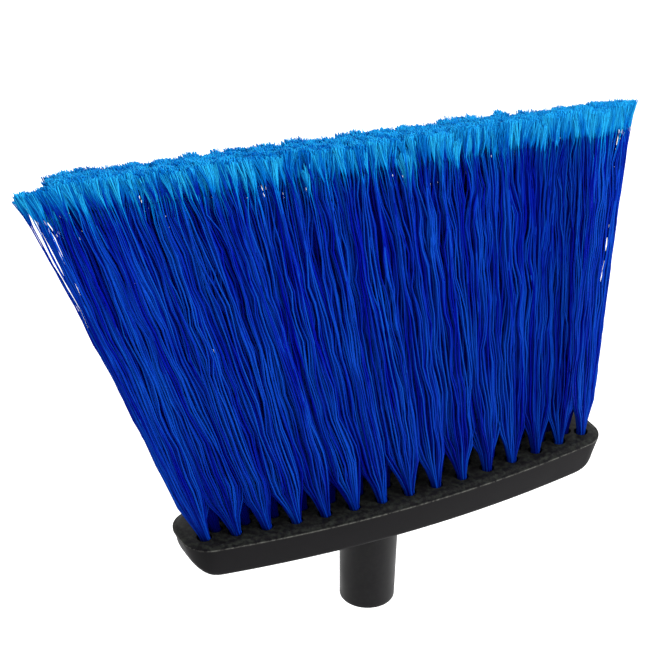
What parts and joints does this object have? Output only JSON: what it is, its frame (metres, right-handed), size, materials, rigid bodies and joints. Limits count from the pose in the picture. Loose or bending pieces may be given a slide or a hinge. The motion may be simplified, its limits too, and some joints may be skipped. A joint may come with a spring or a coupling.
{
  "type": "angled floor broom head",
  "caption": "Wide floor broom head: a fanned, slanted bed of crimped filament tufts in a moulded block with a socket for a screw-in handle.",
  "frame": {"origin": "centre of the handle socket's mouth, where the handle goes in", "axes": "+X along the block towards the short bristles, +Y across the block, away from the viewer of the picture, +Z from the socket to the bristle tips"},
  "size_m": [0.292, 0.0516, 0.2563],
  "materials": {
    "block_plastic": "moulded polypropylene, near black, faint grain",
    "filament": "crimped royal blue filament with pale flagged tips",
    "staple_wire": "flattened drawn steel wire of the staples in the tuft holes"
  },
  "bodies": {
    "root": {"block": "block_plastic", "handle_socket": "block_plastic", "tuft_1_01": "filament", "tuft_1_02": "filament", "tuft_1_03": "filament", "tuft_1_04": "filament", "tuft_1_05": "filament", "tuft_1_06": "filament", "tuft_1_07": "filament", "tuft_1_08": "filament", "tuft_1_09": "filament", "tuft_1_10": "filament", "tuft_1_11": "filament", "tuft_1_12": "filament", "tuft_1_13": "filament", "tuft_1_14": "filament", "tuft_1_15": "filament", "tuft_2_01": "filament", "tuft_2_02": "filament", "tuft_2_03": "filament", "tuft_2_04": "filament", "tuft_2_05": "filament", "tuft_2_06": "filament", "tuft_2_07": "filament", "tuft_2_08": "filament", "tuft_2_09": "filament", "tuft_2_10": "filament", "tuft_2_11": "filament", "tuft_2_12": "filament", "tuft_2_13": "filament", "tuft_2_14": "filament", "tuft_3_01": "filament", "tuft_3_02": "filament", "tuft_3_03": "filament", "tuft_3_04": "filament", "tuft_3_05": "filament", "tuft_3_06": "filament", "tuft_3_07": "filament", "tuft_3_08": "filament", "tuft_3_09": "filament", "tuft_3_10": "filament", "tuft_3_11": "filament", "tuft_3_12": "filament", "tuft_3_13": "filament", "tuft_4_01": "filament", "tuft_4_02": "filament", "tuft_4_03": "filament", "tuft_4_04": "filament", "tuft_4_05": "filament", "tuft_4_06": "filament", "tuft_4_07": "filament", "tuft_4_08": "filament", "tuft_4_09": "filament", "tuft_4_10": "filament", "tuft_4_11": "filament", "tuft_4_12": "filament", "tuft_4_13": "filament", "tuft_4_14": "filament"}
  },
  "joints": []
}
